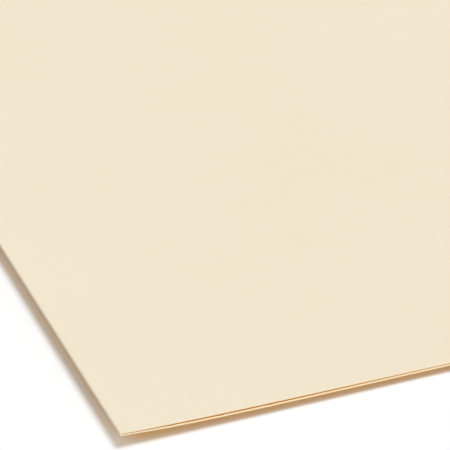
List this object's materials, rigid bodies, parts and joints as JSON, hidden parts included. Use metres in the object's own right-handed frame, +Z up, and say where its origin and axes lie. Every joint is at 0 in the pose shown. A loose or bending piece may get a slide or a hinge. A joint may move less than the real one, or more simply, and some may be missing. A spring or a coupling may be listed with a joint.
{
  "type": "fastener folder",
  "caption": "Closed letter-size board folder with a reinforced tab and a two-prong paper fastener inside each leaf; the cover opens on its fold.",
  "frame": {"origin": "on the table, under the middle of the folder's bounding box", "axes": "+X from the fold to the tab edge, +Y along the fold towards the end with the fasteners, +Z up out of the closed cover"},
  "size_m": [0.2414, 0.2984, 0.0065],
  "materials": {
    "folder_board": "matt",
    "patch_paper": "matt",
    "tinplate": "satin"
  },
  "bodies": {
    "back": {"back_leaf": "folder_board", "fold_crease": "folder_board", "back_tab_ply": "folder_board", "rear_patch": "patch_paper", "rear_base": "tinplate", "rear_compressor": "tinplate"},
    "front": {"front_leaf": "folder_board", "front_edge_ply": "folder_board", "front_patch": "patch_paper", "front_base": "tinplate", "front_compressor": "tinplate"},
    "rear_left_prong": {"rear_left_prong": "tinplate"},
    "rear_right_prong": {"rear_right_prong": "tinplate"},
    "front_left_prong": {"front_left_prong": "tinplate"},
    "front_right_prong": {"front_right_prong": "tinplate"},
    "rear_left_slider": {"rear_left_slider": "tinplate"},
    "rear_right_slider": {"rear_right_slider": "tinplate"},
    "front_left_slider": {"front_left_slider": "tinplate"},
    "front_right_slider": {"front_right_slider": "tinplate"}
  },
  "joints": [
    {"name": "cover_fold", "type": "hinge", "parent": "back", "child": "front", "pos_m": [-0.12033, 0, 0.00182], "axis": [0, -1, 0], "range_deg": [0, 176]},
    {"name": "rear_left_prong_bend", "type": "hinge", "parent": "back", "child": "rear_left_prong", "pos_m": [-0.03492, 0.13323, 0.00208], "axis": [0, 1, 0], "range_deg": [0, 90.5]},
    {"name": "rear_right_prong_bend", "type": "hinge", "parent": "back", "child": "rear_right_prong", "pos_m": [0.03492, 0.13323, 0.00208], "axis": [0, -1, 0], "range_deg": [0, 90.5]},
    {"name": "front_left_prong_bend", "type": "hinge", "parent": "front", "child": "front_left_prong", "pos_m": [-0.03492, 0.13323, 0.00358], "axis": [0, -1, 0], "range_deg": [0, 90.5]},
    {"name": "front_right_prong_bend", "type": "hinge", "parent": "front", "child": "front_right_prong", "pos_m": [0.03492, 0.13323, 0.00358], "axis": [0, 1, 0], "range_deg": [0, 90.5]},
    {"name": "rear_left_slider_run", "type": "slide", "parent": "back", "child": "rear_left_slider", "axis": [-1, 0, 0], "range_m": [0, 0.018]},
    {"name": "rear_right_slider_run", "type": "slide", "parent": "back", "child": "rear_right_slider", "axis": [1, 0, 0], "range_m": [0, 0.018]},
    {"name": "front_left_slider_run", "type": "slide", "parent": "front", "child": "front_left_slider", "axis": [-1, 0, 0], "range_m": [0, 0.018]},
    {"name": "front_right_slider_run", "type": "slide", "parent": "front", "child": "front_right_slider", "axis": [1, 0, 0], "range_m": [0, 0.018]}
  ],
  "couplings": [
    {"joint": "rear_left_prong_bend", "follows": "cover_fold", "ratio": 0.51136},
    {"joint": "rear_right_prong_bend", "follows": "cover_fold", "ratio": 0.51136},
    {"joint": "front_left_prong_bend", "follows": "cover_fold", "ratio": 0.51136},
    {"joint": "front_right_prong_bend", "follows": "cover_fold", "ratio": 0.51136}
  ]
}
